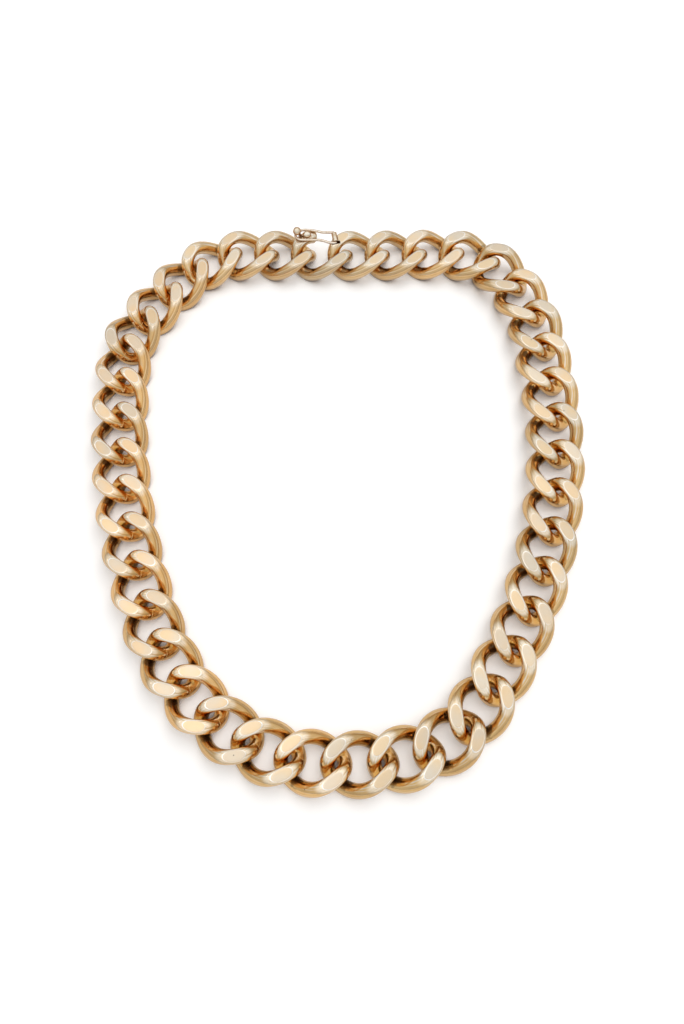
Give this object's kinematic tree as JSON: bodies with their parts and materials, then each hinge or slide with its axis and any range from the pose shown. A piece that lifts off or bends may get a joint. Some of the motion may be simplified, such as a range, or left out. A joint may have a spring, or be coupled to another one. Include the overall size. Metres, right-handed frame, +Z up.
{
  "type": "chain necklace",
  "caption": "Closed loop of chunky flat-ground curb links; an open hook link closes it, held by a hinged wire latch that snaps over a ball stud.",
  "frame": {"origin": "centre of the closed necklace's bounding box, on the plane it lies on", "axes": "+Z up from the table, +Y from the front of the necklace to its clasp, +X to the right seen from above with the clasp at the top"},
  "size_m": [0.1374, 0.1668, 0.0105],
  "materials": {
    "chain": "pale champagne gold plate, ground faces satin with polished rims",
    "clasp": "pale gold plate, polished",
    "latch": "pinkish gold wire, polished"
  },
  "bodies": {
    "link_20": {"link_20": "chain"},
    "hook_link": {"link_00": "chain", "clasp_keeper": "clasp", "clasp_stud": "clasp"},
    "latch_link": {"link_01": "chain", "clasp_tube": "clasp"},
    "link_02": {"link_02": "chain"},
    "link_03": {"link_03": "chain"},
    "link_04": {"link_04": "chain"},
    "link_05": {"link_05": "chain"},
    "link_06": {"link_06": "chain"},
    "link_07": {"link_07": "chain"},
    "link_08": {"link_08": "chain"},
    "link_09": {"link_09": "chain"},
    "link_10": {"link_10": "chain"},
    "link_11": {"link_11": "chain"},
    "link_12": {"link_12": "chain"},
    "link_13": {"link_13": "chain"},
    "link_14": {"link_14": "chain"},
    "link_15": {"link_15": "chain"},
    "link_16": {"link_16": "chain"},
    "link_17": {"link_17": "chain"},
    "link_18": {"link_18": "chain"},
    "link_19": {"link_19": "chain"},
    "link_21": {"link_21": "chain"},
    "link_22": {"link_22": "chain"},
    "link_23": {"link_23": "chain"},
    "link_24": {"link_24": "chain"},
    "link_25": {"link_25": "chain"},
    "link_26": {"link_26": "chain"},
    "link_27": {"link_27": "chain"},
    "link_28": {"link_28": "chain"},
    "link_29": {"link_29": "chain"},
    "link_30": {"link_30": "chain"},
    "link_31": {"link_31": "chain"},
    "link_32": {"link_32": "chain"},
    "link_33": {"link_33": "chain"},
    "link_34": {"link_34": "chain"},
    "link_35": {"link_35": "chain"},
    "link_36": {"link_36": "chain"},
    "link_37": {"link_37": "chain"},
    "link_38": {"link_38": "chain"},
    "link_39": {"link_39": "chain"},
    "latch": {"clasp_latch": "latch"}
  },
  "joints": [
    {"name": "curl_19", "type": "hinge", "parent": "link_20", "child": "link_19", "pos_m": [0.00515, -0.07569, 0.00365], "axis": [0, 0, -1], "range_deg": [0, 40]},
    {"name": "roll_18", "type": "hinge", "parent": "link_19", "child": "link_18", "pos_m": [0.01637, -0.07435, 0.00365], "axis": [0.9528, 0.3037, 0], "range_deg": [-15, 15]},
    {"name": "curl_17", "type": "hinge", "parent": "link_18", "child": "link_17", "pos_m": [0.02629, -0.06895, 0.00365], "axis": [0, 0, 1], "range_deg": [-40, 0]},
    {"name": "drape_16", "type": "hinge", "parent": "link_17", "child": "link_16", "pos_m": [0.0335, -0.06025, 0.00365], "axis": [0.7965, -0.6047, 0], "range_deg": [-30, 30]},
    {"name": "curl_15", "type": "hinge", "parent": "link_16", "child": "link_15", "pos_m": [0.03994, -0.05097, 0.00365], "axis": [0, 0, 1], "range_deg": [-40, 0]},
    {"name": "drape_14", "type": "hinge", "parent": "link_15", "child": "link_14", "pos_m": [0.04558, -0.04117, 0.00365], "axis": [-0.8869, 0.462, 0], "range_deg": [-30, 30]},
    {"name": "curl_13", "type": "hinge", "parent": "link_14", "child": "link_13", "pos_m": [0.05037, -0.03094, 0.00365], "axis": [0, 0, 1], "range_deg": [-40, 0]},
    {"name": "drape_12", "type": "hinge", "parent": "link_13", "child": "link_12", "pos_m": [0.0543, -0.02034, 0.00365], "axis": [0.9513, -0.3081, 0], "range_deg": [-30, 30]},
    {"name": "curl_11", "type": "hinge", "parent": "link_12", "child": "link_11", "pos_m": [0.05733, -0.00946, 0.00365], "axis": [0, 0, 1], "range_deg": [-40, 0]},
    {"name": "drape_10", "type": "hinge", "parent": "link_11", "child": "link_10", "pos_m": [0.05946, 0.00164, 0.00365], "axis": [-0.989, 0.1481, 0], "range_deg": [-30, 30]},
    {"name": "curl_09", "type": "hinge", "parent": "link_10", "child": "link_09", "pos_m": [0.06067, 0.01287, 0.00365], "axis": [0, 0, 1], "range_deg": [-40, 0]},
    {"name": "drape_08", "type": "hinge", "parent": "link_09", "child": "link_08", "pos_m": [0.06098, 0.02417, 0.00365], "axis": [-1, 0.0006, 0], "range_deg": [-30, 0]},
    {"name": "curl_07", "type": "hinge", "parent": "link_08", "child": "link_07", "pos_m": [0.06069, 0.03547, 0.00365], "axis": [0, 0, 1], "range_deg": [-40, 0]},
    {"name": "drape_06", "type": "hinge", "parent": "link_07", "child": "link_06", "pos_m": [0.05982, 0.04673, 0.00365], "axis": [-0.9786, -0.2056, 0], "range_deg": [-30, 0]},
    {"name": "drape_05", "type": "hinge", "parent": "link_06", "child": "link_05", "pos_m": [0.05608, 0.0574, 0.00365], "axis": [-0.8929, -0.4503, 0], "range_deg": [-30, 0]},
    {"name": "curl_04", "type": "hinge", "parent": "link_05", "child": "link_04", "pos_m": [0.04973, 0.06674, 0.00365], "axis": [0, 0, 1], "range_deg": [-40, 0]},
    {"name": "curl_03", "type": "hinge", "parent": "link_04", "child": "link_03", "pos_m": [0.03911, 0.0706, 0.00365], "axis": [0, 0, 1], "range_deg": [-40, 0]},
    {"name": "drape_02", "type": "hinge", "parent": "link_03", "child": "link_02", "pos_m": [0.02782, 0.07121, 0.00365], "axis": [-0.0614, -0.9981, 0], "range_deg": [-30, 0]},
    {"name": "curl_01", "type": "hinge", "parent": "link_02", "child": "latch_link", "pos_m": [0.01655, 0.07198, 0.00365], "axis": [0, 0, 1], "range_deg": [-40, 0]},
    {"name": "curl_21", "type": "hinge", "parent": "link_20", "child": "link_21", "pos_m": [-0.00615, -0.07539, 0.00365], "axis": [0, 0, 1], "range_deg": [0, 40]},
    {"name": "roll_22", "type": "hinge", "parent": "link_21", "child": "link_22", "pos_m": [-0.01728, -0.07346, 0.00365], "axis": [0.9573, -0.289, 0], "range_deg": [-15, 15]},
    {"name": "curl_23", "type": "hinge", "parent": "link_22", "child": "link_23", "pos_m": [-0.02763, -0.0689, 0.00365], "axis": [0, 0, -1], "range_deg": [-40, 0]},
    {"name": "drape_24", "type": "hinge", "parent": "link_23", "child": "link_24", "pos_m": [-0.03656, -0.06199, 0.00365], "axis": [-0.7033, -0.7109, 0], "range_deg": [-30, 30]},
    {"name": "curl_25", "type": "hinge", "parent": "link_24", "child": "link_25", "pos_m": [-0.04357, -0.05313, 0.00365], "axis": [0, 0, -1], "range_deg": [-40, 0]},
    {"name": "drape_26", "type": "hinge", "parent": "link_25", "child": "link_26", "pos_m": [-0.04898, -0.04321, 0.00365], "axis": [0.9153, 0.4028, 0], "range_deg": [-30, 30]},
    {"name": "curl_27", "type": "hinge", "parent": "link_26", "child": "link_27", "pos_m": [-0.05264, -0.03252, 0.00365], "axis": [0, 0, -1], "range_deg": [-40, 0]},
    {"name": "drape_28", "type": "hinge", "parent": "link_27", "child": "link_28", "pos_m": [-0.05564, -0.02162, 0.00365], "axis": [0.9717, 0.2362, 0], "range_deg": [-30, 30]},
    {"name": "curl_29", "type": "hinge", "parent": "link_28", "child": "link_29", "pos_m": [-0.05798, -0.01056, 0.00365], "axis": [0, 0, -1], "range_deg": [-40, 0]},
    {"name": "drape_30", "type": "hinge", "parent": "link_29", "child": "link_30", "pos_m": [-0.05964, 0.00061, 0.00365], "axis": [-0.993, -0.1182, 0], "range_deg": [-30, 30]},
    {"name": "curl_31", "type": "hinge", "parent": "link_30", "child": "link_31", "pos_m": [-0.06065, 0.01187, 0.00365], "axis": [0, 0, -1], "range_deg": [-40, 0]},
    {"name": "drape_32", "type": "hinge", "parent": "link_31", "child": "link_32", "pos_m": [-0.06098, 0.02316, 0.00365], "axis": [-1, -0.0009, 0], "range_deg": [-30, 0]},
    {"name": "curl_33", "type": "hinge", "parent": "link_32", "child": "link_33", "pos_m": [-0.06067, 0.03446, 0.00365], "axis": [0, 0, -1], "range_deg": [-40, 0]},
    {"name": "curl_34", "type": "hinge", "parent": "link_33", "child": "link_34", "pos_m": [-0.05996, 0.04573, 0.00365], "axis": [0, 0, -1], "range_deg": [-40, 0]},
    {"name": "drape_35", "type": "hinge", "parent": "link_34", "child": "link_35", "pos_m": [-0.05457, 0.05566, 0.00365], "axis": [-0.8146, 0.5801, 0], "range_deg": [-30, 0]},
    {"name": "drape_36", "type": "hinge", "parent": "link_35", "child": "link_36", "pos_m": [-0.04695, 0.06401, 0.00365], "axis": [-0.7273, 0.6863, 0], "range_deg": [-30, 0]},
    {"name": "curl_37", "type": "hinge", "parent": "link_36", "child": "link_37", "pos_m": [-0.03906, 0.0721, 0.00365], "axis": [0, 0, -1], "range_deg": [-40, 0]},
    {"name": "curl_38", "type": "hinge", "parent": "link_37", "child": "link_38", "pos_m": [-0.02847, 0.07604, 0.00365], "axis": [0, 0, -1], "range_deg": [-40, 0]},
    {"name": "drape_39", "type": "hinge", "parent": "link_38", "child": "link_39", "pos_m": [-0.01721, 0.07506, 0.00365], "axis": [-0.089, -0.996, 0], "range_deg": [-30, 0]},
    {"name": "curl_00", "type": "hinge", "parent": "link_39", "child": "hook_link", "pos_m": [-0.00596, 0.07403, 0.00365], "axis": [0, 0, -1], "range_deg": [-40, 0]},
    {"name": "clasp_latch", "type": "hinge", "parent": "latch_link", "child": "latch", "pos_m": [0.00402, 0.07707, 0.0071], "axis": [-0.1115, 0.9938, 0], "range_deg": [0, 120]}
  ],
  "couplings": [
    {"joint": "curl_07", "follows": "curl_09", "ratio": 1},
    {"joint": "drape_06", "follows": "drape_08", "ratio": 1},
    {"joint": "drape_05", "follows": "drape_08", "ratio": 1},
    {"joint": "curl_04", "follows": "curl_09", "ratio": 1},
    {"joint": "curl_03", "follows": "curl_09", "ratio": 1},
    {"joint": "drape_02", "follows": "drape_08", "ratio": 1},
    {"joint": "curl_01", "follows": "curl_09", "ratio": 1},
    {"joint": "curl_33", "follows": "curl_31", "ratio": 1},
    {"joint": "curl_34", "follows": "curl_31", "ratio": 1},
    {"joint": "drape_35", "follows": "drape_32", "ratio": 1},
    {"joint": "drape_36", "follows": "drape_32", "ratio": 1},
    {"joint": "curl_37", "follows": "curl_31", "ratio": 1},
    {"joint": "curl_38", "follows": "curl_31", "ratio": 1},
    {"joint": "drape_39", "follows": "drape_32", "ratio": 1},
    {"joint": "curl_00", "follows": "curl_31", "ratio": 1}
  ]
}
